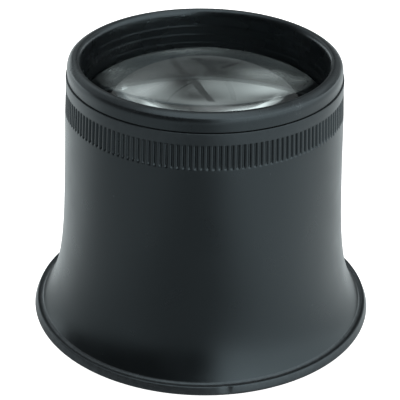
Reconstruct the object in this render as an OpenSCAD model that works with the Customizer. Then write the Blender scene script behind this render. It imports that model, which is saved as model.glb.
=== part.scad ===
// Eye loupe, standing on its eye rim with the lens on top.
// Millimetres. +Z is the optical axis and z = 0 is the plane that the rim rests on.
// The lens drops into a pocket in the eyecup and a threaded ring holds it there.
// The ring's right-hand thread rises 0.8 mm in a turn; its ridges aren't in the solids.

/* [Lens] */
// Diameter of the lens
lens_d = 27; // [22:0.5:31]
// Thickness of the lens at its edge
lens_edge_t = 1.6; // [1:0.1:2.6]
// Radius of the convex face; the other face is flat
lens_curve_r = 26; // [20:0.5:60]
// Width of the chamfer round the flat face
lens_chamfer = 0.15; // [0.05:0.05:0.3]

/* [Lens seat] */
// Gap round the lens in its pocket
pocket_gap = 0.05; // [0.02:0.01:0.1]
// How far the ledge reaches in under the lens
ledge_w = 0.95; // [0.5:0.05:1.6]
// Thickness of the ledge
ledge_t = 1.2; // [0.8:0.1:2]
// Gap between the convex face and the foot of the ring
seat_gap = 0.05; // [0.03:0.01:0.1]

/* [Lens ring] */
// How far the bore of the ring stands inside the edge of the lens
ring_hold = 0.44; // [0.3:0.02:0.8]
// How far the skirt of the ring stands outside the edge of the lens
skirt_out = 0.4; // [0.3:0.05:0.8]
// Length of the skirt below the seam
skirt_len = 2.8; // [2.6:0.1:4]
// Height of the ring above the seam
ring_h = 1.85; // [1.6:0.05:2.6]
// How far the ring stands inside the plain band
ring_step = 0.16; // [0.1:0.02:0.3]
// Radius of the ring's rounded shoulder
shoulder_r = 1.4; // [1:0.1:1.8]
// Height of the lip's crown above that shoulder
crown_h = 0.36; // [0.3:0.02:0.5]
// Spacing of the glare steps in the bore
glare_pitch = 1; // [0.6:0.1:1.2]
// Depth of a glare step
glare_depth = 0.12; // [0.05:0.01:0.2]

/* [Threaded bore] */
// Radial gap between the skirt and the threaded bore
thread_gap = 0.05; // [0.02:0.01:0.1]
// Free depth of the threaded bore below the skirt
thread_relief = 0.15; // [0.1:0.05:0.4]

/* [Grip band] */
// Wall of the barrel outside the threaded bore
band_wall = 0.75; // [0.6:0.05:1.5]
// Height of the plain band between the seam and the ribs
plain_band_h = 1.25; // [1.2:0.05:2.5]
// Length of the ribs
rib_len = 2.65; // [1.5:0.05:5]
// Height of the ribs above the plain band
rib_out = 0.17; // [0.1:0.01:0.4]
// Depth of the rib grooves below the plain band
rib_in = 0.16; // [0.16:0.01:0.3]
// Spacing of the ribs round the barrel
rib_pitch = 0.595; // [0.5:0.005:1.2]
// Share of the spacing that is groove
groove_share = 0.34; // [0.2:0.02:0.6]

/* [Eyecup] */
// Height from the rim to the seam under the ring
cup_h = 28.1; // [26:0.1:36]
// Diameter across the rim bead
rim_d = 38; // [36.5:0.5:44]
// Draft of the barrel, as radius gained per millimetre of height
draft = 0.03; // [0.01:0.005:0.04]
// Height over which the flare falls to about a third
flare_len = 3.8; // [2.5:0.1:5]
// Wall of the flare
cup_wall = 1.4; // [1:0.1:1.5]

/* [Rim bead] */
// Height of the bead's crest
bead_h = 0.92; // [0.8:0.02:1.4]
// How far the crest stands inside the widest line of the rim
bead_lean = 0.4; // [0.3:0.02:0.5]
// Radius of the bead's crest and foot
bead_round = 0.18; // [0.1:0.02:0.3]
// Distance from the widest line in to the middle of the channel behind the crest
bead_w = 0.8; // [0.75:0.05:1]
// Width of that channel
rim_groove_w = 0.4; // [0.2:0.05:0.5]
// Depth of the channel below the crest
rim_groove_d = 0.12; // [0.06:0.02:0.2]
// Radius of the inner corner of the rim
rim_inner_round = 0.35; // [0.1:0.05:0.4]

/* [Hidden] */

// Width of the small chamfer on each moulded edge
edge_break = 0.1;
// Segments of a full turn, steps of a profile arc and steps of the flare
turn_fn = 180;
arc_n = 8;
flare_n = 26;
// Depth to which the ribs are rooted in the barrel, and their sink at the foot
rib_root = 0.25;
rib_sink = 0.05;
land_set = 0.01;

// Radii, from the lens outwards
lens_r = lens_d / 2;
ring_bore_r = lens_r - ring_hold;
pocket_r = lens_r + pocket_gap;
ledge_r = lens_r - ledge_w;
skirt_r = lens_r + skirt_out;
thread_r = skirt_r + thread_gap;
band_r = thread_r + band_wall;
ring_base_r = band_r - ring_step;
rib_foot_r = band_r + rib_out;
rib_land_r = rib_foot_r - land_set;
rib_floor_r = band_r - rib_in;
rim_r = rim_d / 2;
rim_groove_r = rim_r - bead_w;

// Heights, from the seam down
skirt_foot_z = cup_h - skirt_len;
lens_centre_z = skirt_foot_z - seat_gap - sqrt(pow(lens_curve_r, 2) - pow(ring_bore_r, 2));
lens_shoulder_z = lens_centre_z + sqrt(pow(lens_curve_r, 2) - pow(lens_r, 2));
ledge_z = lens_shoulder_z - lens_edge_t;
ledge_foot_z = ledge_z - ledge_t;
rib_top_z = cup_h - plain_band_h;
rib_foot_z = rib_top_z - rib_len;
flare_foot_z = bead_h + 0.03;

// Reach of the flare beyond the drafted barrel, so that it ends at the rim channel
flare_reach = rim_groove_r - rim_groove_w / 2 - drafted_r(flare_foot_z);

// Radius of the drafted barrel, without the flare
function drafted_r(z) = rib_foot_r + draft * (rib_foot_z - z);

// Radius of the outside: the drafted barrel plus a flare that grows towards the rim
function cup_r(z) = drafted_r(z) + flare_reach * exp((flare_foot_z - z) / flare_len);

// Slope of the outside, as radius gained per millimetre down
function flare_slope(z) = draft + flare_reach / flare_len * exp((flare_foot_z - z) / flare_len);

// Points along an arc in the profile plane, from angle a0 to angle a1
function arc(c, r, a0, a1) =
    [for (i = [0:arc_n]) let (a = a0 + (a1 - a0) * i / arc_n) c + r * [cos(a), sin(a)]];

// Heights that crowd together where the flare is steep, from z0 up to z1
function flare_z(z0, z1) =
    [for (i = [0:flare_n]) z0 + (z1 - z0) * pow(i / flare_n, 1.6)];

// Outside of the eyecup, from the rim's flat up to the top of the plain band
function cup_outside() = concat(
    bead_outside(),
    [[rim_groove_r, bead_h - rim_groove_d]],
    [for (z = flare_z(flare_foot_z, rib_foot_z)) [cup_r(z), z]],
    [[rib_floor_r, rib_foot_z], [rib_floor_r, rib_top_z], [band_r, rib_top_z],
     [band_r, cup_h - edge_break], [band_r - edge_break, cup_h]]);

// Bead: round foot, face that leans in, round crest that falls into the channel
function bead_outside() =
    let (lean_a = atan((bead_lean - bead_round) / (bead_h - 2 * bead_round)))
    concat(
        arc([rim_r - bead_round, bead_round], bead_round, -90, lean_a),
        arc([rim_r - bead_lean, bead_h - bead_round], bead_round, lean_a, 130));

// Inside of the eyecup, from the mouth of the thread down to the rim
function cup_inside() =
    let (under_r = cup_r(ledge_foot_z) - cup_wall,
         under_z = ledge_foot_z - (under_r - ledge_r),
         turn_a = atan(flare_slope(0)),
         turn_z = rim_inner_round * (1 - sin(turn_a)),
         turn_r = cup_r(turn_z) - cup_wall + rim_inner_round * cos(turn_a))
    concat(
        [[thread_r + edge_break, cup_h], [thread_r, cup_h - edge_break],
         [thread_r, skirt_foot_z - thread_relief], [pocket_r, skirt_foot_z - thread_relief],
         [pocket_r, ledge_z], [ledge_r, ledge_z], [ledge_r, ledge_foot_z]],
        [for (i = [flare_n:-1:1])
            let (z = flare_z(turn_z, under_z)[i]) [cup_r(z) - cup_wall, z]],
        arc([turn_r, rim_inner_round], rim_inner_round, 180 + turn_a, 270));

// Ribs: one toothed outline, whose gaps are rooted below the barrel's surface
module rib_band() {
    count = round(2 * PI * rib_land_r / rib_pitch);
    step = 360 / count;
    half_land = step * (1 - groove_share) / 2;
    root_r = rib_floor_r - rib_root / 2;
    outline = [for (i = [0:count - 1])
        for (side = [[root_r, -1], [rib_land_r, -1], [rib_land_r, 1], [root_r, 1]])
            let (a = i * step + side[1] * half_land) side[0] * [cos(a), sin(a)]];
    translate([0, 0, rib_foot_z - rib_sink])
        linear_extrude(rib_len + rib_sink)
            difference() {
                polygon(outline);
                circle(r = rib_floor_r - rib_root, $fn = turn_fn);
            }
}

module eyecup() {
    color("#24282a") {
        rotate_extrude($fn = turn_fn)
            polygon(concat(cup_outside(), cup_inside()));
        rib_band();
    }
}

// The convex face is a true sphere, cut by a disc with a chamfered foot
module lens() {
    color("#d5e6e3", 0.4)
        intersection() {
            translate([0, 0, lens_centre_z])
                sphere(r = lens_curve_r, $fn = 2 * turn_fn);
            rotate_extrude($fn = turn_fn)
                polygon([[0, ledge_z], [lens_r - lens_chamfer, ledge_z],
                         [lens_r, ledge_z + lens_chamfer], [lens_r, cup_h + ring_h],
                         [0, cup_h + ring_h]]);
        }
}

// Outside of the ring: skirt, upright flange, rounded shoulder and lip
function ring_outside() =
    let (top_z = cup_h + ring_h,
         shoulder_a = 28,
         shoulder_z = top_z - crown_h - shoulder_r * sin(shoulder_a))
    concat(
        [[skirt_r - edge_break, skirt_foot_z], [skirt_r, skirt_foot_z + edge_break],
         [skirt_r, cup_h], [ring_base_r - edge_break, cup_h],
         [ring_base_r, cup_h + edge_break]],
        arc([ring_base_r - shoulder_r, shoulder_z], shoulder_r, 0, shoulder_a),
        lip_crown(ring_base_r - shoulder_r * (1 - cos(shoulder_a)), top_z - crown_h, top_z));

// Crown of the lip: a low parabola from the shoulder to the crest, then round into the bore
function lip_crown(r0, z0, top_z) =
    let (crest_r = ring_bore_r + 0.5)
    concat(
        [for (i = [1:arc_n]) let (t = i / arc_n)
            [r0 + (crest_r - r0) * t, z0 + (top_z - z0) * (1 - pow(1 - t, 2))]],
        [for (i = [1:arc_n]) let (a = 90 * i / arc_n)
            [crest_r - 0.5 * sin(a), top_z - 0.75 * (1 - cos(a))]]);

// Bore of the ring, from the lip down: each glare step widens and then steps back in
function ring_bore() =
    let (top = cup_h + ring_h - 0.95,
         bottom = skirt_foot_z + 0.2,
         count = floor((top - bottom) / glare_pitch))
    concat(
        [for (i = [0:count - 1]) for (step = [[0, 0], [glare_depth, 0.8]])
            [ring_bore_r + step[0], top - (i + step[1]) * glare_pitch]],
        [[ring_bore_r, top - count * glare_pitch], [ring_bore_r, skirt_foot_z]]);

module lens_ring() {
    color("#2a2e30")
        rotate_extrude($fn = turn_fn)
            polygon(concat(ring_outside(), ring_bore()));
}

eyecup();
lens();
lens_ring();
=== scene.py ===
"""Eye loupe dressed for its picture: a ribbed eyecup, a threaded lens ring and a plano-convex lens.

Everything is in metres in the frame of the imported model: +Z is the optical axis and the eye rim rests on
z = 0. The classes write their sizes in millimetres, as a maker would, and turn them into metres where a
mesh is made. Each piece is a turned surface: a profile of radius and height carried round the axis.
"""

import logging
import math
from collections.abc import Sequence
from dataclasses import dataclass
from enum import Enum

import bpy
import numpy as np
from mathutils import Matrix, Vector


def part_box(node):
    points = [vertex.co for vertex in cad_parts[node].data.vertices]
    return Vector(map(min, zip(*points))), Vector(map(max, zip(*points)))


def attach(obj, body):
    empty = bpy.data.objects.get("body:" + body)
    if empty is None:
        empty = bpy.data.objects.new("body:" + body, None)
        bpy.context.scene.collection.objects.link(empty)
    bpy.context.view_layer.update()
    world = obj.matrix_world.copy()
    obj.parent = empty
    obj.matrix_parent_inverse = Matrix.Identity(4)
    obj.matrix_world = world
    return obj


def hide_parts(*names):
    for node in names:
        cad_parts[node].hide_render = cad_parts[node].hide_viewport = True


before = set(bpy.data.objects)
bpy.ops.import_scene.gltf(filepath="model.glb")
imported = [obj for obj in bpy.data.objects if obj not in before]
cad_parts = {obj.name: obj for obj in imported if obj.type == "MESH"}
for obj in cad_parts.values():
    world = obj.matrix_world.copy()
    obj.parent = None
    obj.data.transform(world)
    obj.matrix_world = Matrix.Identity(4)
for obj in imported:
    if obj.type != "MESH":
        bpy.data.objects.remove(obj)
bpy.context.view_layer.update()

Array = np.ndarray
Ends = tuple[float, float]
Triple = tuple[float, float, float]
Object, Tree = bpy.types.Object, bpy.types.NodeTree
Node, Socket = bpy.types.Node, bpy.types.NodeSocket
Inputs = dict[int | str, object]
MM = 0.001  # metres in a millimetre
TURN = 2.0 * math.pi
ROW_CROWDING = 1.6  # power by which the rows of a long wall crowd towards the rim
# Per-point rubbing of each piece, from 0 to 1, which on the eyecup's rim channel holds painted light
# instead.
WEAR_AND_LIGHT_ATTRIBUTE = "wear_and_painted_light"
GLOW_ATTRIBUTE = "card_glow"
LOG = logging.getLogger("eye_loupe")


class Body(Enum):
    """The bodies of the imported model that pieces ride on."""

    CUP = "cup"
    OPTIC = "optic"
    RING = "ring"


class Slot(Enum):
    """The record's material slots."""

    EYECUP = "eyecup_plastic"
    RING = "ring_plastic"
    LENS = "lens_glass"


def half_width(node: str) -> float:
    """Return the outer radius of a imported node, in millimetres."""
    return round(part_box(node)[1].x / MM, 2)


def span(node: str) -> Ends:
    """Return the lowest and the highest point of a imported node, in millimetres."""
    low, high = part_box(node)
    return round(low.z / MM, 4), round(high.z / MM, 4)


def add_object(name: str, data: bpy.types.ID) -> Object:
    """Put a new object into the scene.

    Args:
        name: Name of the object.
        data: Its mesh, lamp or camera.

    Returns:
        The object.
    """
    new_object = bpy.data.objects.new(name, data)
    bpy.context.scene.collection.objects.link(new_object)
    return new_object


def ease(t: Array | float) -> Array | float:
    """Return the smooth step 3t² − 2t³ of t held between 0 and 1."""
    t = np.clip(t, 0.0, 1.0)
    return t * t * (3.0 - 2.0 * t)


def around(columns: int) -> Array:
    """Return the column angles of a full turn, in radians."""
    return np.arange(columns) * TURN / columns


def arc(centre: Ends, radius: float, start: float, end: float, steps: int) -> Array:
    """Return points along an arc in the profile plane: centre + radius · (cos a, sin a).

    Args:
        centre: Radius and height of the arc's centre.
        radius: Radius of the arc.
        start: First angle in degrees.
        end: Last angle in degrees.
        steps: Number of points less one.

    Returns:
        An array of (radius, height) rows.
    """
    a = np.radians(np.linspace(start, end, steps + 1))
    return np.column_stack([centre[0] + radius * np.cos(a), centre[1] + radius * np.sin(a)])


def rounded(corners: Sequence[Triple], steps: int = 3) -> Array:
    """Return an open outline whose inner corners are rounded by quadratic curves.

    A corner P with radius c becomes the curve A(1 − t)² + 2P·t(1 − t) + B·t², where A and B lie on the two
    sides at a distance of c from P.

    Args:
        corners: Rows of radius, height and the length, over zero for the inner ones, that the rounding
            takes from each side.
        steps: Number of steps along each rounding.

    Returns:
        An array of (radius, height) rows.
    """
    points = np.array([c[:2] for c in corners], float)
    cut = np.array([c[2] for c in corners], float)
    t = np.linspace(0.0, 1.0, steps + 1)[:, None]
    parts = [points[:1]]
    for before, here, after, c in zip(points[:-2], points[1:-1], points[2:], cut[1:-1]):
        a = here + (before - here) * c / np.linalg.norm(before - here)
        b = here + (after - here) * c / np.linalg.norm(after - here)
        parts.append(a * (1 - t) ** 2 + 2 * here * t * (1 - t) + b * t**2)
    parts.append(points[-1:])
    return np.concatenate(parts)


@dataclass
class Band:
    """Rows of a turned surface that share their column angles.

    Attributes:
        angle: Column angles in radians, rising from 0.
        radius: Radius in millimetres, one row for each profile point.
        height: Height in millimetres, of the same shape.
        wear_and_light: How exposed each point is to rubbing, from 0 to 1, of the same shape. On the eyecup's
        rim channel it holds painted light, a strip standing in for the light on its upward face.
    """

    angle: Array
    radius: Array
    height: Array
    wear_and_light: Array

    @classmethod
    def turned(cls, profile: Array, columns: int, wear_and_light: Array | float = 0.0) -> "Band":
        """Carry a profile round the axis.

        Args:
            profile: Rows of radius and height.
            columns: Number of columns in a full turn.
            wear_and_light: One value for each row of the profile, or one for all.

        Returns:
            The band.
        """
        flat = np.ones(columns)
        worn = np.broadcast_to(np.asarray(wear_and_light, float), len(profile))
        return cls(around(columns), *(np.outer(part, flat) for part in (*profile.T, worn)))

    def points(self) -> Array:
        """Return the band's points: (r·cos θ, r·sin θ, z) for each row and column."""
        r = self.radius
        return np.stack([r * np.cos(self.angle), r * np.sin(self.angle), self.height], -1).reshape(-1, 3)


class TurnedMesh:
    """A closed surface made of bands, each joined to the next, with poles where a piece is solid."""

    def __init__(self, name: str) -> None:
        """Start an empty surface.

        Args:
            name: Name of the mesh and of its object.
        """
        self.name = name
        self.coords: list[Array] = []
        self.wear_and_light: list[Array] = []
        self.faces: list[Array] = []
        self.count = 0

    def add(self, band: Band) -> tuple[Array, Array]:
        """Add a band's points and the quads between its rows.

        Args:
            band: The band to add.

        Returns:
            The point numbers of its first and of its last row.
        """
        rows, columns = band.radius.shape
        index = self.count + np.arange(rows * columns).reshape(rows, columns)
        self.coords.append(band.points())
        self.wear_and_light.append(band.wear_and_light.ravel())
        self.count += rows * columns
        after = np.roll(index, -1, axis=1)
        quads = np.stack([index[:-1], after[:-1], after[1:], index[1:]], -1)
        self.faces.append(quads.reshape(-1, 4))
        return index[0], index[-1]

    def join(self, lower: Array, lower_angle: Array, upper: Array, upper_angle: Array) -> None:
        """Join two rows whose coarser angles are all among the finer ones.

        Every coarse edge and the fine edges over it make one face.

        Args:
            lower: Point numbers of the row that comes first along the profile.
            lower_angle: Its column angles.
            upper: Point numbers of the row that comes next.
            upper_angle: Its column angles.
        """
        flip = len(lower) > len(upper)
        coarse, fine = (upper, lower) if flip else (lower, upper)
        coarse_angle, fine_angle = (upper_angle, lower_angle) if flip else (lower_angle, upper_angle)
        first = np.searchsorted(fine_angle, coarse_angle - 1e-7)
        edges = np.diff(np.append(first, len(fine)))
        for n in np.unique(edges):
            i = np.flatnonzero(edges == n)
            over = fine[(first[i][:, None] + np.arange(n, -1, -1)) % len(fine)]
            face = np.column_stack([coarse[i], coarse[(i + 1) % len(coarse)], over])
            self.faces.append(face[:, ::-1] if flip else face)

    def close(self, bands: Sequence[Band]) -> None:
        """Add bands in the order of the profile and join the last to the first.

        Args:
            bands: The bands of a profile that is a closed loop.
        """
        rows = [self.add(band) for band in bands]
        for i, band in enumerate(bands):
            j = (i + 1) % len(bands)
            self.join(rows[i][1], band.angle, rows[j][0], bands[j].angle)

    def cap(self, row: Array, height: float, last: bool = True) -> None:
        """Close a row with triangles to a point on the axis.

        Args:
            row: Point numbers of the row.
            height: Height of the pole in millimetres.
            last: Whether the row is the last along the profile.
        """
        self.coords.append(np.array([[0.0, 0.0, height]]))
        self.wear_and_light.append(np.zeros(1))
        pole = np.full(len(row), self.count)
        self.count += 1
        face = np.stack([row, np.roll(row, -1), pole], -1)
        self.faces.append(face if last else face[:, ::-1])

    def build(self, sharp_deg: float = 32.0) -> Object:
        """Make the Blender object, with faces outward and smooth up to a crease angle.

        The faces all turn the same way by construction, so the sign of the enclosed volume, the sum of
        a · (b × c) / 6 over the triangles of each face, tells whether all of them have to be turned.

        Args:
            sharp_deg: Angle between faces, in degrees, past which an edge is sharp.

        Returns:
            The object, linked to the scene at the origin.
        """
        coords = np.concatenate(self.coords) * MM
        volume = 0.0
        for face in self.faces:
            a = coords[face[:, 0]]
            for k in range(1, face.shape[1] - 1):
                volume += np.einsum("ij,ij->", a, np.cross(coords[face[:, k]], coords[face[:, k + 1]])) / 6.0
        faces = self.faces if volume > 0 else [face[:, ::-1] for face in self.faces]
        loops = np.concatenate([face.ravel() for face in faces])
        sizes = np.concatenate([np.full(len(face), face.shape[1]) for face in faces])
        mesh = bpy.data.meshes.new(self.name)
        mesh.vertices.add(len(coords))
        mesh.vertices.foreach_set("co", coords.astype(np.float32).ravel())
        mesh.loops.add(len(loops))
        mesh.loops.foreach_set("vertex_index", loops.astype(np.int32))
        mesh.polygons.add(len(sizes))
        mesh.polygons.foreach_set("loop_start", (np.cumsum(sizes) - sizes).astype(np.int32))
        mesh.update(calc_edges=True)
        mesh.validate()
        mesh.polygons.foreach_set("use_smooth", np.ones(len(sizes), bool))
        mesh.set_sharp_from_angle(angle=math.radians(sharp_deg))
        worn = mesh.attributes.new(WEAR_AND_LIGHT_ATTRIBUTE, "FLOAT", "POINT")
        worn.data.foreach_set("value", np.concatenate(self.wear_and_light).astype(np.float32))
        LOG.info("%s: %d triangles, %.1f mm3", self.name, int((sizes - 2).sum()), abs(volume) / MM**3)
        return add_object(self.name, mesh)


@dataclass(frozen=True)
class Thread:
    """The right-hand thread that the ring and the eyecup share.

    Attributes:
        pitch: Rise in one turn.
        depth: Height of the ridge.
        crest: Share of the pitch that is ridge top.
        flank: Share of the pitch that is one flank.
        rows_per_pitch: Mesh rows in one pitch.
    """

    pitch: float = 0.8
    depth: float = 0.28
    crest: float = 0.16
    flank: float = 0.26
    rows_per_pitch: int = 10

    def ridge(self, angle: Array, height: Array) -> Array:
        """Return how far the ridge stands at a point, from 0 to 1.

        The phase z / pitch − θ / 2π stays the same along the helix. The ridge is full within half the
        crest of phase 0 and eases to nothing over a flank.

        Args:
            angle: Column angles in radians.
            height: Heights in millimetres, one for each row.

        Returns:
            An array of rows and columns.
        """
        phase = height[:, None] / self.pitch - angle[None, :] / TURN
        away = np.abs(phase - np.round(phase))
        return 1.0 - ease((away - self.crest / 2) / self.flank)

    def wall(self, radius: float, ends: Ends, columns: int, fade: Ends, wear_and_light: float = 0.0,
             inward: bool = False) -> Band:
        """Build a threaded wall: a radius and the depth of the ridge at each point.

        Args:
            radius: Radius at the root of the thread.
            ends: Heights of the wall's foot and head.
            columns: Number of columns in a full turn.
            fade: Heights over which the ridge rises at the foot and sinks at the head.
            wear_and_light: How worn the ridge is, from 0 to 1.
            inward: Whether it stands in from the radius, and fills the gaps of the ridge that stands out.

        Returns:
            The band.
        """
        z = np.linspace(*ends, round((ends[1] - ends[0]) / self.pitch * self.rows_per_pitch) + 1)
        angle = around(columns)
        ridge = 1.0 - self.ridge(angle, z) if inward else self.ridge(angle, z)
        ridge *= (ease((z - z[0]) / fade[0]) * ease((z[-1] - z) / fade[1]))[:, None]
        height = np.repeat(z[:, None], columns, axis=1)
        return Band(angle, radius + (-self.depth if inward else self.depth) * ridge, height, wear_and_light * ridge)


@dataclass(frozen=True)
class Eyecup:
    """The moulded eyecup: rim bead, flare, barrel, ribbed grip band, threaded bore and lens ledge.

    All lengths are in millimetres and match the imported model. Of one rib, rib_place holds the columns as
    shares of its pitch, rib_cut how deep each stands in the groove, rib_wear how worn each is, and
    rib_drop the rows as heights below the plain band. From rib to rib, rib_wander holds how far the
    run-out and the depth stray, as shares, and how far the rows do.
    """

    rim_r: float
    top_z: float
    thread: Thread
    band_r: float = 14.7
    plain_band_h: float = 1.25
    rib_len: float = 2.65
    rib_out: float = 0.17
    rib_depth: float = 0.2
    rib_count: int = 157
    rib_run_out: float = 0.24
    rib_wander: Triple = (0.16, 0.05, 0.016)
    rib_seed: int = 5
    rib_top_lean: float = 0.16
    rib_place: tuple[float, ...] = (0.0, 0.15, 0.26, 0.33, 0.41, 0.5, 0.59, 0.67, 0.74, 0.85)
    rib_cut: tuple[float, ...] = (0.0, 0.07, 0.3, 0.68, 0.94, 1.0, 0.94, 0.68, 0.3, 0.07)
    rib_wear: tuple[float, ...] = (0.05, 0.12, 0.22, 0.1, 0.0, 0.0, 0.0, 0.1, 0.22, 0.12)
    rib_drop: tuple[float, ...] = (0.0, 0.05, 0.1, 0.2, 0.4, 0.9, 1.4, 1.9, 2.3, 2.42, 2.5, 2.57, 2.65)
    draft: float = 0.03
    flare_len: float = 3.8
    wall: float = 1.4
    bead_h: float = 0.92
    bead_lean: float = 0.4
    bead_round: float = 0.18
    channel_in: float = 0.8
    channel_w: float = 0.4
    channel_d: float = 0.12
    channel_step: float = 0.03
    # Painted light: strength of the pale colour laid in the rim channel, a strip standing in for the light
    # its upward face catches.
    channel_painted_light: float = 0.8
    crest_wear: Ends = (0.1, 0.6)
    mouth_wear: float = 0.18
    inner_round: float = 0.35
    thread_r: float = 13.95
    pocket_r: float = 13.55
    ledge_r: float = 12.55
    ledge_z: float = 23.39
    ledge_t: float = 1.2
    relief_z: float = 25.15
    edge: float = 0.1
    row_gap: float = 0.1
    outer_rows: int = 36
    inner_rows: int = 24
    outer_columns: int = 628
    inner_columns: int = 314
    gate_deg: float = -81.4
    gate_half_deg: float = 1.9
    gate_depth: float = 0.11
    gate_side: float = 1.6
    gate_sink: float = 0.6
    gate_fade: Triple = (0.25, 0.35, 0.16)

    @property
    def rib_top(self) -> float:
        """Return the height at which the ribs end."""
        return self.top_z - self.plain_band_h

    @property
    def rib_foot(self) -> float:
        """Return the height at which the rib grooves run out."""
        return self.rib_top - self.rib_len

    @property
    def barrel_r(self) -> float:
        """Return the radius of the barrel at the foot of the ribs."""
        return self.band_r + self.rib_out

    @property
    def channel_r(self) -> float:
        """Return the radius of the shallow channel behind the rim bead."""
        return self.rim_r - self.channel_in

    @property
    def flare_foot(self) -> float:
        """Return the height at which the flare meets the channel."""
        return self.bead_h + self.channel_step

    @property
    def reach(self) -> float:
        """Return how far the flare reaches beyond the drafted barrel at its foot."""
        drafted = self.barrel_r + self.draft * (self.rib_foot - self.flare_foot)
        return self.channel_r - self.channel_w / 2 - drafted

    def outside_r(self, z: Array | float) -> Array | float:
        """Return the outside radius: the drafted barrel plus reach · e^((foot − z) / flare_len)."""
        flare = self.reach * np.exp((self.flare_foot - z) / self.flare_len)
        return self.barrel_r + self.draft * (self.rib_foot - z) + flare

    def outer_band(self) -> Band:
        """Build the barrel, the flare, the rim channel and the bead, from the ribs down to the rest face.

        The bead's face leans in from its foot to its crest, tangent to the round of each.

        Returns:
            The band, with the bead's crest worn, painted light in the rim channel and a shallow moulding
            gate below it.
        """
        t = np.linspace(1.0, 0.0, self.outer_rows) ** ROW_CROWDING
        z = self.flare_foot + (self.rib_foot - self.row_gap - self.flare_foot) * t
        wall = np.column_stack([self.outside_r(z), z])
        c = self.bead_round
        lean = math.degrees(math.atan((self.bead_lean - c) / (self.bead_h - 2 * c)))
        crest = arc((self.rim_r - self.bead_lean, self.bead_h - c), c, 130, lean, 9)
        foot = arc((self.rim_r - c, c), c, lean, -90, 8)
        channel = rounded([
            (*wall[-2], 0), (*wall[-1], 0.04), (self.channel_r, self.bead_h - self.channel_d - 0.01, 0.13),
            (*crest[0], 0),
        ], 5)[1:-1]
        # The rim channel gets painted light: a pale strip for the light on its upward face, not rubbing.
        wear_and_light = np.concatenate([
            np.zeros(len(wall) - 1), np.full(len(channel), self.channel_painted_light),
            np.linspace(*self.crest_wear, len(crest)), np.full(len(foot), self.crest_wear[1]),
        ])
        band = Band.turned(np.concatenate([wall[:-1], channel, crest, foot]), self.outer_columns, wear_and_light)
        return self.with_gate(band)

    def with_gate(self, band: Band) -> Band:
        """Scoop the moulding gate out of the top of the bead's face.

        The scoop is a smooth hump round the gate's angle. gate_fade holds the height at which it starts
        on the face, the height over which it deepens, and the width over which it ends at the crest.

        Args:
            band: The outer band.

        Returns:
            The same band.
        """
        off = np.degrees(np.angle(np.exp(1j * (band.angle - math.radians(self.gate_deg)))))
        near = ease(self.gate_side * (1.0 - np.abs(off) / self.gate_half_deg))
        inner_r = self.rim_r - self.bead_lean - 0.06
        low, rise, width = self.gate_fade
        high = ease((band.height - low) / rise) * ease((band.radius - inner_r) / width)
        band.radius -= self.gate_depth * near * high
        band.height -= self.gate_sink * self.gate_depth * near * high
        return band

    def inner_band(self) -> Band:
        """Build the rest face, the inner corner, the inside of the flare, the ledge and the pocket.

        The inside of the flare is the outside radius less the wall, at the same height.

        Returns:
            The band, from the foot of the bead up to the thread.
        """
        slope = self.draft + self.reach / self.flare_len * math.exp(self.flare_foot / self.flare_len)
        turn = math.degrees(math.atan(slope))
        c = self.inner_round
        turn_z = c * (1.0 - math.sin(math.radians(turn)))
        turn_r = float(self.outside_r(turn_z)) - self.wall + c * math.cos(math.radians(turn))
        foot = self.ledge_z - self.ledge_t
        under_r = float(self.outside_r(foot)) - self.wall
        under_z = foot - (under_r - self.ledge_r)
        t = np.linspace(0.0, 1.0, self.inner_rows)[1:] ** ROW_CROWDING
        z = turn_z + (under_z - self.row_gap - turn_z) * t
        seat = rounded([
            (under_r, under_z - 0.05, 0), (under_r, under_z, 0.03), (self.ledge_r, foot, 0.12),
            (self.ledge_r, self.ledge_z, 0.08), (self.pocket_r, self.ledge_z, 0.05),
            (self.pocket_r, self.relief_z, 0.06), (self.thread_r, self.relief_z, 0.06),
            (self.thread_r, self.relief_z + 0.1, 0),
        ])
        profile = np.concatenate([
            arc((turn_r, c), c, 270, 180 + turn, 6),
            np.column_stack([self.outside_r(z) - self.wall, z]),
            seat,
        ])
        return Band.turned(profile, self.inner_columns)

    def thread_band(self) -> Band:
        """Build the threaded bore, whose ridges stand between the ring's own."""
        ends = (self.relief_z + 0.15, self.top_z - 0.14)
        return self.thread.wall(self.thread_r, ends, self.inner_columns, (0.3, 0.25), inward=True)

    def top_band(self) -> Band:
        """Build the mouth of the thread, the face under the ring and the plain band.

        Returns:
            The band, from the thread up and down to the ribs.
        """
        e = self.edge
        profile = rounded([
            (self.thread_r, self.top_z - 0.12, 0), (self.thread_r + e, self.top_z, 0.04),
            (self.band_r, self.top_z, 0.09), (self.band_r, self.rib_top + 0.12, 0),
        ])
        profile = np.concatenate([profile, [[self.band_r, self.rib_top + 0.05]]])
        return Band.turned(profile, self.outer_columns, self.mouth_wear)

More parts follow.
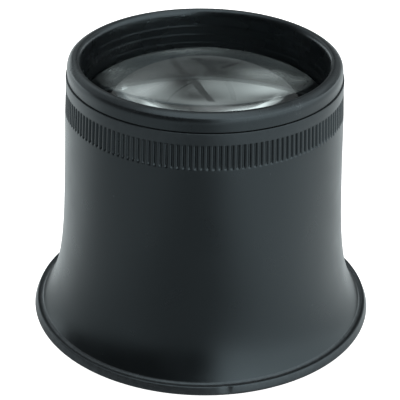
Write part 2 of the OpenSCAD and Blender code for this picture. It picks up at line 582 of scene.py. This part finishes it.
    def rib_band(self) -> Band:
        """Build the grip band: lands at the barrel's own surface with rounded grooves cut between them.

        A column's share of the groove comes from its place in the pitch, a row's from its height: the
        groove runs out over rib_run_out at the foot, and the land leans in to the plain band at the top.
        Each rib's ends wander a little, as the worn mould left them.

        Returns:
            The band, with the land edges worn.
        """
        rib = np.repeat(np.arange(self.rib_count), len(self.rib_place))
        place, depth, worn = (
            np.tile(part, self.rib_count) for part in (self.rib_place, self.rib_cut, self.rib_wear))
        angle = (rib + place) * TURN / self.rib_count
        run_wander, depth_wander, row_wander = (
            np.random.default_rng(self.rib_seed).normal(0.0, 1.0, (3, self.rib_count))[:, rib])
        run_share, depth_share, row_shift = self.rib_wander
        drop = np.array(self.rib_drop)[:, None]
        up = self.rib_len - drop
        run = self.rib_run_out * (1.0 + run_share * run_wander)
        groove = ease(up / run) * ease((drop + 0.02) / self.rib_top_lean)
        land = self.barrel_r - (self.rib_out - 0.01) * up / self.rib_len
        radius = land - self.rib_depth * (1.0 + depth_share * depth_wander) * depth * groove
        inner = (drop > 0.03) & (up > 0.03)
        z = self.rib_top - drop + np.where(inner, row_shift * np.clip(row_wander, -1.5, 1.5), 0.0)
        ends = 0.4 + 0.6 * ease((0.5 - up) / 0.3)
        return Band(angle, radius, z, worn * ends * ease(up / 0.1))

    def build(self) -> Object:
        """Join the bands into the one moulded shell.

        Returns:
            The eyecup's object.
        """
        mesh = TurnedMesh("eyecup_shell")
        mesh.close([
            self.rib_band(), self.outer_band(), self.inner_band(), self.thread_band(), self.top_band(),
        ])
        return mesh.build()


@dataclass(frozen=True)
class LensRing:
    """The screw-in ring: threaded skirt, upright flange, rounded shoulder, lip and stepped bore.

    lip_wear holds how worn the lip is at both ends of the flange, the shoulder, the crown and the turn into
    the bore.
    """

    top_z: float
    foot_z: float
    seam_z: float
    thread: Thread
    bore_r: float = 13.06
    skirt_r: float = 13.9
    base_r: float = 14.54
    shoulder_r: float = 1.4
    shoulder_deg: float = 28.0
    crown_h: float = 0.36
    glare_pitch: float = 1.0
    glare_depth: float = 0.04
    glare_share: float = 0.8
    lip_in: float = 0.5
    lip_down: float = 0.75
    lip_wear: tuple[Ends, ...] = ((0.05, 0.05), (0.02, 0.18), (0.18, 0.14), (0.14, 0.0))
    flange_wear: float = 0.1
    ridge_wear: float = 0.2
    edge: float = 0.1
    columns: int = 480

    @property
    def root_r(self) -> float:
        """Return the radius of the skirt between the ridges of its thread."""
        return self.skirt_r - self.thread.depth

    def bore(self) -> Array:
        """Return the bore from the lip down.

        Each glare step widens slowly over glare_share of the pitch and comes back sharply over the rest.

        Returns:
            The profile, from the lip's foot to the skirt's.
        """
        top, bottom = self.top_z - 0.95, self.foot_z + 0.2
        count = int((top - bottom) // self.glare_pitch)
        corners = [(self.bore_r, top + 0.1, 0.0)]
        for i in range(count):
            z = top - i * self.glare_pitch
            corners.append((self.bore_r, z, 0.05))
            corners.append((self.bore_r + self.glare_depth, z - self.glare_share * self.glare_pitch, 0.06))
        corners.append((self.bore_r, top - count * self.glare_pitch, 0.05))
        corners.append((self.bore_r, self.foot_z, 0.06))
        corners.append((self.bore_r + 0.3, self.foot_z, 0.0))
        return rounded(corners)

    def lip(self) -> tuple[Array, Array]:
        """Return the lip's profile from the seam up to the bore, and how worn each point is.

        Over the arc of the shoulder the crown is the parabola z = top − crown_h · (1 − t)², and then a
        quarter of an ellipse turns into the bore.

        Returns:
            The profile and one wear value for each of its points.
        """
        shoulder_z = self.top_z - self.crown_h - self.shoulder_r * math.sin(math.radians(self.shoulder_deg))
        shoulder = arc((self.base_r - self.shoulder_r, shoulder_z), self.shoulder_r, 0, self.shoulder_deg, 8)
        r0 = shoulder[-1, 0]
        crest = self.bore_r + self.lip_in
        t = np.linspace(0.0, 1.0, 13)[1:]
        a = np.radians(np.linspace(0.0, 90.0, 11)[1:])
        parts = [
            np.array([[self.base_r, self.seam_z + self.edge]]),
            shoulder,
            np.column_stack([r0 + (crest - r0) * t, self.top_z - self.crown_h * (1 - t) ** 2]),
            np.column_stack([crest - self.lip_in * np.sin(a), self.top_z - self.lip_down * (1 - np.cos(a))]),
        ]
        wear_and_light = [np.linspace(*ends, len(part)) for part, ends in zip(parts, self.lip_wear)]
        return np.concatenate(parts), np.concatenate(wear_and_light)

    def skirt_band(self) -> Band:
        """Build the threaded skirt, up from the ring's foot."""
        ends = (self.foot_z + 0.1, self.seam_z - 0.05)
        return self.thread.wall(self.root_r, ends, self.columns, (0.35, 0.3), self.ridge_wear)

    def build(self) -> Object:
        """Join the skirt, the flange, the lip and the bore.

        Returns:
            The ring's object.
        """
        root = self.root_r
        lip, wear_and_light = self.lip()
        flange = rounded([
            (root, self.seam_z - 0.04, 0), (root, self.seam_z, 0.03),
            (self.base_r - self.edge, self.seam_z, 0.06), (*lip[0], 0),
        ])[:-1]
        foot = np.array([[root - 0.12, self.foot_z], [root, self.foot_z + 0.08]])
        mesh = TurnedMesh("lens_ring_turned")
        mesh.close([
            self.skirt_band(),
            Band.turned(flange, self.columns, self.flange_wear),
            Band.turned(lip, self.columns, wear_and_light),
            Band.turned(self.bore(), self.columns),
            Band.turned(foot, self.columns),
        ])
        return mesh.build()


@dataclass(frozen=True)
class Lens:
    """The plano-convex lens, its convex face up."""

    radius: float
    foot_z: float
    apex_z: float
    curve_r: float = 26.0
    chamfer: float = 0.15
    columns: int = 256
    dome_rows: int = 90

    def build(self) -> Object:
        """Build the closed lens: a sphere's cap, a ground edge and a flat foot.

        The cap is (R·sin a, apex − R·(1 − cos a)) for a from the pole to the edge.

        Returns:
            The lens's object.
        """
        a = np.linspace(0.0, math.asin((self.radius - 0.05) / self.curve_r), self.dome_rows)[1:]
        cap = np.column_stack([self.curve_r * np.sin(a), self.apex_z - self.curve_r * (1 - np.cos(a))])
        edge_z = cap[-1, 1] - 0.05
        rim = rounded([
            (self.radius, edge_z, 0), (self.radius, self.foot_z + self.chamfer, 0.02),
            (self.radius - self.chamfer, self.foot_z, 0.02), (self.radius - 1.5, self.foot_z, 0),
        ])
        flat = np.column_stack([np.linspace(self.radius - 2.5, 1.0, 8), np.full(8, self.foot_z)])
        mesh = TurnedMesh("lens_glass")
        first, last = mesh.add(Band.turned(np.concatenate([cap, rim, flat]), self.columns))
        mesh.cap(first, self.apex_z, last=False)
        mesh.cap(last, self.foot_z)
        return mesh.build(sharp_deg=20.0)


class Wiring:
    """A node tree, with short calls for the nodes that the finishes and the studio use."""

    def __init__(self, tree: Tree) -> None:
        """Work on the tree of a material, of the world or of a group."""
        self.tree = tree

    @classmethod
    def of(cls, owner: bpy.types.Material | bpy.types.World, empty: bool = True) -> "Wiring":
        """Turn on the nodes of a material or of the world.

        Args:
            owner: The material or the world.
            empty: Whether the nodes that it starts with are removed.

        Returns:
            The wiring of its tree.
        """
        owner.use_nodes = True
        if empty:
            owner.node_tree.nodes.clear()
        return cls(owner.node_tree)

    def fill(self, node: Node, values: Inputs) -> None:
        """Set a node's inputs to values, or link them from sockets.

        Args:
            node: The node.
            values: What each input, by number or name, is set to or linked from.
        """
        for key, value in values.items():
            if isinstance(value, Socket):
                self.tree.links.new(value, node.inputs[key])
            else:
                node.inputs[key].default_value = value

    def node(self, kind: str, values: Inputs | None = None, **settings: object) -> Sequence[Socket]:
        """Add a shader node.

        Args:
            kind: Type of the node, without the word ShaderNode at its start.
            values: What each input, by number or name, is set to or linked from.
            settings: Properties of the node.

        Returns:
            Its outputs.
        """
        node = self.tree.nodes.new("ShaderNode" + kind)
        for key, value in settings.items():
            setattr(node, key, value)
        self.fill(node, values or {})
        return node.outputs

    def maths(self, operation: str, *terms: object) -> Socket:
        """Return the result of a Math node on sockets or numbers."""
        return self.node("Math", dict(enumerate(terms)), operation=operation)[0]

    def ramp(self, value: Socket, source: Ends, target: Ends = (0.0, 1.0), shape: str = "LINEAR") -> Socket:
        """Return a value carried from the source range to the target range and held at its ends."""
        terms = dict(enumerate((value, *source, *target)))
        return self.node("MapRange", terms, interpolation_type=shape)[0]

    def choose(self, mask: Socket, off: Socket, on: Socket) -> Socket:
        """Return one shader where a mask is 0 and another where it is 1."""
        return self.node("MixShader", {0: mask, 1: off, 2: on})[0]

    def ray_masks(self) -> tuple[Socket, Socket]:
        """Tell which rays ask for a colour.

        Returns:
            The mask of camera rays and the mask of the rays that gloss and glass send.
        """
        path = self.node("LightPath")
        gloss = self.maths("MAXIMUM", path["Is Glossy Ray"], path["Is Transmission Ray"])
        return path["Is Camera Ray"], gloss


class ShaderGroup(Wiring):
    """A shared node group under construction, whose patterns are read at its Place."""

    def __init__(self, name: str, numbers: dict[str, float], results: Sequence[str],
                 vectors: Sequence[str] = ("Place",)) -> None:
        """Make the group and its sockets.

        Args:
            name: Name of the group.
            numbers: Numbers that go in, with their default values.
            results: Names of the numbers that come out.
            vectors: Names of the vectors that go in.
        """
        super().__init__(bpy.data.node_groups.new(name, "ShaderNodeTree"))
        add_socket = self.tree.interface.new_socket
        for label in vectors:
            add_socket(label, in_out="INPUT", socket_type="NodeSocketVector")
        for label, value in numbers.items():
            add_socket(label, in_out="INPUT", socket_type="NodeSocketFloat").default_value = value
        for label in results:
            add_socket(label, in_out="OUTPUT", socket_type="NodeSocketFloat")
        self.given = self.tree.nodes.new("NodeGroupInput").outputs
        self.result = self.tree.nodes.new("NodeGroupOutput")

    def per_metre(self, size: Socket) -> Socket:
        """Return the scale of a pattern whose cells have a size in millimetres."""
        return self.maths("DIVIDE", 1.0 / MM, size)

    def noise(self, size: Socket, detail: float, roughness: float, place: Socket | None = None) -> Socket:
        """Return noise from 0 to 1.

        Args:
            size: Size of its features in millimetres.
            detail: Number of finer layers.
            roughness: Strength of each finer layer.
            place: Where it is read, which is the group's own Place if none is given.

        Returns:
            The noise.
        """
        return self.node("TexNoise", {
            "Vector": place or self.given["Place"], "Scale": self.per_metre(size),
            "Detail": detail, "Roughness": roughness})[0]

    def give(self, **results: Socket) -> Tree:
        """Send sockets to the group's outputs by name and return its finished tree."""
        self.fill(self.result, results)
        return self.tree


def moulded_grain_group() -> Tree:
    """Build the skin of moulded plastic: the height of its fine grain and a slow patchiness."""
    group = ShaderGroup("moulded_grain", {"Grain size": 0.12, "Flow size": 4.0}, ("Height", "Patches"))
    return group.give(Height=group.noise(group.given["Grain size"], 2.0, 0.6),
                      Patches=group.noise(group.given["Flow size"], 2.0, 0.5))


def rubbed_edge_and_light_group() -> Tree:
    """Build the mask of rubbing and painted light from the piece's attribute, half even, half broken by
    noise.

    Returns:
        The group, with one mask from 0 to 1.
    """
    group = ShaderGroup("rubbed_edges_and_painted_light", {"Exposure": 0.0, "Patch size": 0.5}, ("Mask",))
    noise = group.noise(group.given["Patch size"], 4.0, 0.65)
    broken = group.ramp(noise, (0.42, 0.68), (0.5, 1.0))
    return group.give(Mask=group.maths("MULTIPLY", group.given["Exposure"], broken))


def dust_group() -> Tree:
    """Build sparse specks: cells of a Voronoi pattern, of which a share holds one small round speck.

    Returns:
        The group, with one mask from 0 to 1.
    """
    group = ShaderGroup("dust_specks", {"Spacing": 1.0, "Share": 0.1, "Speck size": 0.1}, ("Mask",))
    place, spacing, share, specks, *_ = group.given
    cells = group.node("TexVoronoi", {"Vector": place, "Scale": group.per_metre(spacing)})
    chosen = group.maths("LESS_THAN", group.node("SeparateColor", {0: cells["Color"]})[0], share)
    near = group.maths("LESS_THAN", cells["Distance"], specks)
    return group.give(Mask=group.maths("MULTIPLY", chosen, near))


def scuff_group() -> Tree:
    """Build a patch of fine scuffs: speckled noise inside a soft ellipsoid.

    Returns:
        The group, with one mask from 0 to 1.
    """
    group = ShaderGroup("scuffed_patch", {"Speck size": 0.3}, ("Mask",), ("Place", "Centre", "Reach"))
    place, centre, reach, specks, *_ = group.given
    off = group.node("VectorMath", {0: place, 1: centre}, operation="SUBTRACT")[0]
    off = group.node("VectorMath", {0: off, 1: reach}, operation="DIVIDE")[0]
    far = group.node("VectorMath", {0: off}, operation="LENGTH")["Value"]
    near = group.ramp(far, (0.3, 1.0), (1.0, 0.0))
    raised = group.ramp(group.noise(specks, 3.0, 0.7), (0.52, 0.64))
    return group.give(Mask=group.maths("MULTIPLY", near, raised))


def round_marks_group() -> Tree:
    """Build fine marks that run round the axis: noise that reads only radius and height.

    Returns:
        The group, with the marks' height from 0 to 1.
    """
    group = ShaderGroup("round_marks", {"Spacing": 0.2}, ("Height",))
    x, y, z = group.node("SeparateXYZ", {0: group.given["Place"]})
    square = group.maths("ADD", group.maths("MULTIPLY", x, x), group.maths("MULTIPLY", y, y))
    joined = group.node("CombineXYZ", {0: group.maths("SQRT", square), 2: z})[0]
    return group.give(Height=group.noise(group.given["Spacing"], 3.0, 0.7, joined))


@dataclass(frozen=True)
class Scuff:
    """A scuffed place on a piece: its centre, its reach along each axis and its specks' size, in mm."""

    centre: Triple
    reach: Triple
    specks: float


@dataclass(frozen=True)
class PlasticFinish:
    """One black moulded plastic.

    Colours are linear. grain_depth and marks are the strengths of the bumps of the grain and of the fine
    marks that run round the axis, each of which is bump metres high; the grain's size is in millimetres.

    Attributes:
        name: Name of the material.
        roughness: Roughness of the clean skin, which strays by patchiness to either side.
        base: Colour of the clean plastic.
        rubbing_and_painted_light_colour: Colour where it is worn, scuffed or dusty, and of the painted light
            in the eyecup's rim channel.
        rubbed_share: How far full rubbing and painted light go from the one colour to the other.
        gloss_tint: Tint of the gloss seen straight on, which the skin loses at a glance.
        dust: Spacing of the dust's cells in millimetres, the share that hold a speck, and its size.
    """

    name: str
    roughness: float
    grain_depth: float
    marks: float
    scuffs: tuple[Scuff, ...] = ()
    base: Triple = (0.0045, 0.0058, 0.0066)
    rubbing_and_painted_light_colour: Triple = (0.06, 0.067, 0.072)
    rubbed_share: float = 0.8
    ior: float = 1.47
    gloss_tint: Triple = (0.8, 0.93, 1.0)
    grain: float = 0.12
    patchiness: float = 0.03
    bump: float = 0.00002
    dust: Triple = (1.3, 0.12, 0.045)

    def build(self, groups: dict[str, Tree]) -> bpy.types.Material:
        """Build the material.

        Args:
            groups: The shared shader groups by name.

        Returns:
            The material.
        """
        material = bpy.data.materials.new(self.name)
        net = Wiring.of(material, empty=False)
        place = net.node("TexCoord")["Object"]
        # Per-point rubbing, which in the eyecup's rim channel holds painted light, a strip for the light on
        # its upward face.
        worn = net.node("Attribute", attribute_name=WEAR_AND_LIGHT_ATTRIBUTE)["Fac"]

        def pattern(name: str, values: Inputs) -> Sequence[Socket]:
            """Place a shared group at the object's own place and return its outputs."""
            return net.node("Group", {"Place": place, **values}, node_tree=groups[name])

        grain = pattern("moulded_grain", {"Grain size": self.grain})
        edges = pattern("rubbed_edges_and_painted_light", {"Exposure": worn})
        dust = pattern("dust_specks", dict(zip(("Spacing", "Share", "Speck size"), self.dust)))
        # Pale for rubbing, dust and scuffs, and for the painted light in the eyecup's rim channel.
        pale = net.maths("MULTIPLY", edges["Mask"], self.rubbed_share)
        pale = net.maths("MAXIMUM", pale, dust["Mask"])
        for scuff in self.scuffs:
            centre, reach = ([c * MM for c in row] for row in (scuff.centre, scuff.reach))
            scuffed = pattern("scuffed_patch", {
                "Centre": centre, "Reach": reach, "Speck size": scuff.specks})
            pale = net.maths("MAXIMUM", pale, scuffed["Mask"])
        colours = {0: pale, 6: (*self.base, 1.0), 7: (*self.rubbing_and_painted_light_colour, 1.0)}
        skin = net.node("Bump", {
            "Strength": self.grain_depth, "Distance": self.bump, "Height": grain["Height"]})[0]
        lines = net.node("Bump", {
            "Strength": self.marks, "Distance": self.bump,
            "Height": pattern("round_marks", {})["Height"], "Normal": skin})[0]
        spread = (self.roughness - self.patchiness, self.roughness + self.patchiness)
        net.fill(net.tree.nodes["Principled BSDF"], {
            "Base Color": net.node("Mix", colours, data_type="RGBA")[2],
            "Roughness": net.ramp(grain["Patches"], (0.3, 0.7), spread),
            "IOR": self.ior,
            "Specular Tint": (*self.gloss_tint, 1.0),
            "Normal": lines,
        })
        return material


@dataclass(frozen=True)
class GlassFinish:
    """The lens's crown glass."""

    name: str = "crown_glass"
    tint: Triple = (0.93, 0.985, 0.97)
    ior: float = 1.52

    def build(self) -> bpy.types.Material:
        """Build the material.

        Returns:
            The material.
        """
        material = bpy.data.materials.new(self.name)
        net = Wiring.of(material, empty=False)
        net.fill(net.tree.nodes["Principled BSDF"], {
            "Base Color": (*self.tint, 1.0), "Roughness": 0.0, "IOR": self.ior, "Transmission Weight": 1.0})
        return material


@dataclass(frozen=True)
class Softbox:
    """A rectangular lamp that looks at a target, with its place, its size and the target in metres."""

    name: str
    place: Triple
    size: Ends
    watts: float
    target: Triple = (0.0, 0.0, 0.015)

    def build(self) -> None:
        """Hang the lamp, which gloss and glass don't show."""
        lamp = bpy.data.lights.new(self.name, "AREA")
        lamp.shape = "RECTANGLE"
        lamp.size, lamp.size_y = self.size
        lamp.energy = self.watts
        box = add_object(self.name, lamp)
        away = Vector(self.place) - Vector(self.target)
        box.location = self.place
        box.rotation_euler = away.to_track_quat("Z", "Y").to_euler()
        box.visible_glossy = box.visible_transmission = False


def hang_sheet(name: str, azimuth: Array, rise: Array, glow: Array, distance: float,
               paper: bpy.types.Material) -> None:
    """Hang a curved sheet far round the object, which only gloss and glass see.

    Its points are distance · (cos e·sin a, −cos e·cos a, sin e) for azimuth a and elevation e.

    Args:
        name: Name of the sheet.
        azimuth: Azimuths in degrees from the camera's side, rising towards +X, on a grid.
        rise: Elevations in degrees, on the same grid.
        glow: Brightness on the same grid, where 1 is white.
        distance: Distance from the object in metres.
        paper: The material that glows by the sheet's own attribute.
    """
    a, e = np.radians(azimuth), np.radians(rise)
    points = distance * np.stack([np.cos(e) * np.sin(a), -np.cos(e) * np.cos(a), np.sin(e)], -1)
    index = np.arange(glow.size).reshape(glow.shape)
    quads = np.stack([index[:-1, :-1], index[:-1, 1:], index[1:, 1:], index[1:, :-1]], -1)
    mesh = bpy.data.meshes.new(name)
    mesh.from_pydata(points.reshape(-1, 3).tolist(), [], quads.reshape(-1, 4).tolist())
    shade = mesh.attributes.new(GLOW_ATTRIBUTE, "FLOAT", "POINT")
    shade.data.foreach_set("value", glow.astype(np.float32).ravel())
    mesh.materials.append(paper)
    sheet = add_object(name, mesh)
    sheet.visible_camera = sheet.visible_diffuse = sheet.visible_shadow = False


@dataclass(frozen=True)
class Card:
    """A card with level edges, which only gloss and glass see.

    Attributes:
        name: Name of the card.
        foot: Azimuths between which its foot runs, in degrees from the camera's side.
        rise: Elevations of foot and head in degrees.
        glow: Brightness at its first and at its last azimuth, where 1 is white.
        head: Azimuths between which its head runs, or None where they are the foot's.
        distance: Distance from the object in metres; a nearer card covers a farther one.
        steps: Number of faces along each side.
    """

    name: str
    foot: Ends
    rise: Ends
    glow: Ends
    head: Ends | None = None
    distance: float = 1.6
    steps: int = 12

    def build(self, paper: bpy.types.Material) -> None:
        """Stand the card, whose azimuths and glow are blended evenly between its corners.

        Args:
            paper: The material that glows by the card's own attribute.
        """
        t = np.linspace(0.0, 1.0, self.steps + 1)
        u, v = np.meshgrid(t, t)
        first, last = (low + (high - low) * v for low, high in zip(self.foot, self.head or self.foot))
        rise = self.rise[0] + (self.rise[1] - self.rise[0]) * v
        glow = self.glow[0] + (self.glow[1] - self.glow[0]) * u
        hang_sheet(self.name, first + (last - first) * u, rise, glow, self.distance, paper)


@dataclass(frozen=True)
class Patch:
    """A soft patch of light or shade on the tent.

    Its middle lies at an azimuth and a rise, round which it reaches wide and tall, all in degrees. There
    it adds its glow, or takes it away where that is negative.
    """

    azimuth: float
    rise: float
    wide: float
    tall: float
    glow: float


@dataclass(frozen=True)
class Tent:
    """The white cloth behind the object, lit from outside, which only gloss and glass see."""

    patches: tuple[Patch, ...]
    base: float = 0.27
    azimuths: Ends = (112.0, 255.0)
    rises: Ends = (13.0, 66.0)
    step_deg: float = 1.0
    distance: float = 1.6

    def build(self, paper: bpy.types.Material) -> None:
        """Hang the cloth.

        Its glow is base + Σ glow · e^(−((azimuth − middle) / wide)² − ((rise − middle) / tall)²) over the
        patches, and never below zero.

        Args:
            paper: The material that glows by the cloth's own attribute.
        """
        azimuth, rise = np.meshgrid(*(
            np.arange(low, high + self.step_deg / 2, self.step_deg)
            for low, high in (self.azimuths, self.rises)))
        glow = np.full(azimuth.shape, self.base)
        for patch in self.patches:
            across = (azimuth - patch.azimuth) / patch.wide
            up = (rise - patch.rise) / patch.tall
            glow += patch.glow * np.exp(-across**2 - up**2)
        hang_sheet("tent", azimuth, rise, np.maximum(glow, 0.0), self.distance, paper)


@dataclass(frozen=True)
class Studio:
    """The camera, the lamps, the floor, the white room, and the cloth and cards that gloss and glass show.

    Lengths are in metres, and in pixels of the photograph where the name says so. The camera looks at its
    target, which it shows at centre_px.

    Attributes:
        floor_grey: Colour of the floor's paper.
        floor_white: Light that the camera sees on top of it.
        floor_front: Brightness of the floor in gloss before the object.
        floor_back: Its brightness behind the object.
        floor_rises: Axis, start, end and height of each rise of that brightness: left, right and back.
        room_light: Strength of the dim even light of the room.
        daylight: Colour of what gloss and glass show.
    """

    elevation_deg: float = 29.148
    distance: float = 0.155903
    target: Triple = (-0.00025, 0.0, 0.012606)
    focal_px: float = 1404.33
    frame_px: float = 400.0
    sensor_mm: float = 36.0
    roll_deg: float = 1.006
    centre_px: Ends = (200.0, 200.0)
    floor_size: float = 6.0
    floor_grey: float = 0.8
    floor_white: float = 0.9
    floor_front: float = 0.42
    floor_back: float = 1.15
    floor_rises: tuple[tuple[int, float, float, float], ...] = (
        (0, -0.014, -0.034, 0.32), (0, 0.004, 0.03, 0.95), (1, -0.012, 0.012, 1.0))
    room_light: float = 0.5
    daylight: tuple[float, float, float, float] = (0.9, 0.985, 1.0, 1.0)

    def camera(self) -> None:
        """Set the camera where the photograph was taken from."""
        data = bpy.data.cameras.new("camera")
        data.sensor_width = self.sensor_mm
        data.lens = self.focal_px / self.frame_px * self.sensor_mm
        data.clip_start, data.clip_end = 0.005, 20.0
        middle = (self.frame_px - 1.0) / 2.0
        data.shift_x = -(self.centre_px[0] - middle) / self.frame_px
        data.shift_y = (self.centre_px[1] - middle) / self.frame_px
        camera = add_object("camera", data)
        e = math.radians(self.elevation_deg)
        back = Vector((0.0, -math.cos(e), math.sin(e)))
        turn = back.to_track_quat("Z", "Y").to_matrix().to_4x4()
        roll = Matrix.Rotation(math.radians(self.roll_deg), 4, "Z")
        camera.matrix_world = Matrix.Translation(Vector(self.target) + back * self.distance) @ turn @ roll
        bpy.context.scene.camera = camera

    def floor(self) -> None:
        """Lay the white floor, which keeps the shadow and which nothing sees from below.

        In gloss it is dim before the object and brighter to the left, to the right and behind.
        """
        s = self.floor_size / 2
        mesh = bpy.data.meshes.new("floor")
        mesh.from_pydata([(-s, -s, 0), (s, -s, 0), (s, s, 0), (-s, s, 0)], [], [(0, 1, 2, 3)])
        floor = add_object("floor", mesh)
        material = bpy.data.materials.new("floor_paper")
        net = Wiring.of(material)
        paper = net.node("BsdfDiffuse", {"Color": (*(self.floor_grey,) * 3, 1.0)})[0]
        white = net.node("Emission", {"Color": (1.0,) * 4, "Strength": self.floor_white})[0]
        seen = net.node("AddShader", {0: paper, 1: white})[0]
        place = net.node("SeparateXYZ", {0: net.node("TexCoord")["Object"]})
        left, right, back = (
            net.ramp(place[axis], (start, end), (0.0, height), "SMOOTHSTEP")
            for axis, start, end, height in self.floor_rises)
        front = net.maths("ADD", net.maths("ADD", left, right), self.floor_front)
        bright = net.node("Mix", {0: back, 2: front, 3: self.floor_back})[0]
        mirrored = net.node("Emission", {"Color": self.daylight, "Strength": bright})[0]
        camera_rays, gloss_rays = net.ray_masks()
        above = net.choose(gloss_rays, net.choose(camera_rays, paper, seen), mirrored)
        under = net.node("NewGeometry")["Backfacing"]
        sided = net.choose(under, above, net.node("BsdfTransparent")[0])
        net.node("OutputMaterial", {"Surface": sided})
        mesh.materials.append(material)

    def world(self) -> None:
        """Light the room: white where it is seen, daylight in gloss and glass, a dim even grey otherwise."""
        world = bpy.data.worlds.new("studio")
        net = Wiring.of(world)
        white, room, dim = (
            net.node("Background", {"Color": colour, "Strength": strength})[0]
            for colour, strength in (((1.0,) * 4, 1.0), (self.daylight, 1.0), ((1.0,) * 4, self.room_light)))
        camera_rays, gloss_rays = net.ray_masks()
        whole = net.choose(camera_rays, net.choose(gloss_rays, dim, room), white)
        net.node("OutputWorld", {"Surface": whole})
        bpy.context.scene.world = world

    def lamps(self) -> None:
        """Hang the softboxes, which light the object evenly from above and from both sides."""
        for softbox in (
            Softbox("overhead_left", (-0.42, 0.35, 0.75), (0.7, 0.9), 4.0),
            Softbox("overhead_right", (0.42, 0.45, 0.75), (0.7, 0.9), 4.0),
            Softbox("left_side", (-1.0, 0.0, 0.4), (0.8, 0.8), 3.0),
            Softbox("right_side", (1.0, -0.4, 0.4), (0.8, 0.8), 3.0),
        ):
            softbox.build()

    def cards(self) -> None:
        """Hang the cloth and stand the cards: the black card, the window, the walls and the seams."""
        paper = bpy.data.materials.new("card_paper")
        net = Wiring.of(paper)
        glow = net.node("Attribute", attribute_name=GLOW_ATTRIBUTE)["Fac"]
        light = net.node("Emission", {"Color": self.daylight, "Strength": glow})[0]
        net.node("OutputMaterial", {"Surface": light})
        Tent((
            Patch(186, 37, 7, 4.5, -0.2),
            Patch(178, 18, 7, 6, -0.2),
            Patch(173.5, 31, 6, 9, -0.26),
            Patch(157, 20, 8, 8, 0.1),
            Patch(200, 25, 9, 6, 0.32),
            Patch(203, 38, 11, 4.5, 1.5),
            Patch(219, 32, 10, 4, 0.8),
            Patch(143, 31, 6, 4, 0.6),
            Patch(132, 39, 16, 4, 1.6),
            Patch(203, 15, 8, 4, -0.2),
            Patch(240, 31, 9, 4.5, 0.9),
            Patch(168, 61, 22, 5, 2.4),
        )).build(paper)
        for card in (
            Card("black_cloth", (-105, 12), (0, 52), (0.0, 0.0)),
            Card("window_low", (12, 112), (0, 20), (2.5, 1.9)),
            Card("window_high", (12, 112), (20, 52), (3.2, 2.0)),
            Card("right_wall", (112, 150), (0, 13), (2.4, 1.6)),
            Card("left_wall", (204, 255), (0, 13), (2.4, 2.2)),
            Card("back_foot", (150, 204), (0, 13), (0.2, 0.2)),
            Card("seam_foot", (181.0, 183.0), (13, 30), (0.04, 0.04), (176.0, 178.5), 1.5),
            Card("seam_head", (176.0, 178.5), (30, 52), (0.04, 0.04), (163.0, 166.0), 1.5),
            Card("fork", (184.5, 186), (41, 52), (0.05, 0.05), (199, 201), 1.5),
            Card("high_right", (0, 112), (52, 66), (2.8, 1.8)),
            Card("high_front", (255, 360), (52, 66), (0.4, 2.2)),
            Card("overhead", (0, 360), (66, 90), (2.3, 1.9)),
        ):
            card.build(paper)


def dress(piece: Object, material: bpy.types.Material, body: Body, node: str) -> None:
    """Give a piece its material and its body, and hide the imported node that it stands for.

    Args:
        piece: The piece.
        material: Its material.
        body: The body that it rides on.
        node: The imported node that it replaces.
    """
    piece.data.materials.append(material)
    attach(piece, body.value)
    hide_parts(node)
    LOG.info("%s stands for %s and rides on %s", piece.name, node, body.value)


def main() -> None:
    """Build the pieces, dress them and set the studio."""
    logging.basicConfig(level=logging.INFO, format="%(name)s: %(message)s")
    bpy.context.scene.view_settings.view_transform = "Standard"
    groups = {tree.name: tree for tree in (
        moulded_grain_group(), rubbed_edge_and_light_group(), dust_group(), scuff_group(), round_marks_group())}
    shell = PlasticFinish("eyecup_black", roughness=0.3, grain_depth=0.25, marks=0.0)
    ring = PlasticFinish("ring_black", roughness=0.28, grain_depth=0.2, marks=0.15, scuffs=(
        Scuff((-10.4, 7.9, 26.8), (4.2, 5.0, 0.75), 0.35),
        Scuff((9.0, -10.7, 29.3), (1.1, 1.1, 1.2), 0.22),
        Scuff((6.3, -12.9, 28.9), (0.25, 0.25, 0.2), 0.2),
    ))
    thread = Thread()
    rim_r = half_width("eyecup")
    seam_z = span("eyecup")[1]
    foot_z, top_z = span("lens_ring")
    flat_z, apex_z = span("lens")
    cup = Eyecup(rim_r, seam_z, thread)
    dress(cup.build(), shell.build(groups), Body.CUP, "eyecup")
    lens_ring = LensRing(top_z, foot_z, seam_z, thread)
    dress(lens_ring.build(), ring.build(groups), Body.RING, "lens_ring")
    lens = Lens(half_width("lens"), flat_z, apex_z)
    dress(lens.build(), GlassFinish().build(), Body.OPTIC, "lens")
    studio = Studio()
    studio.world()
    studio.floor()
    studio.lamps()
    studio.cards()
    studio.camera()


if __name__ == "__main__":
    main()
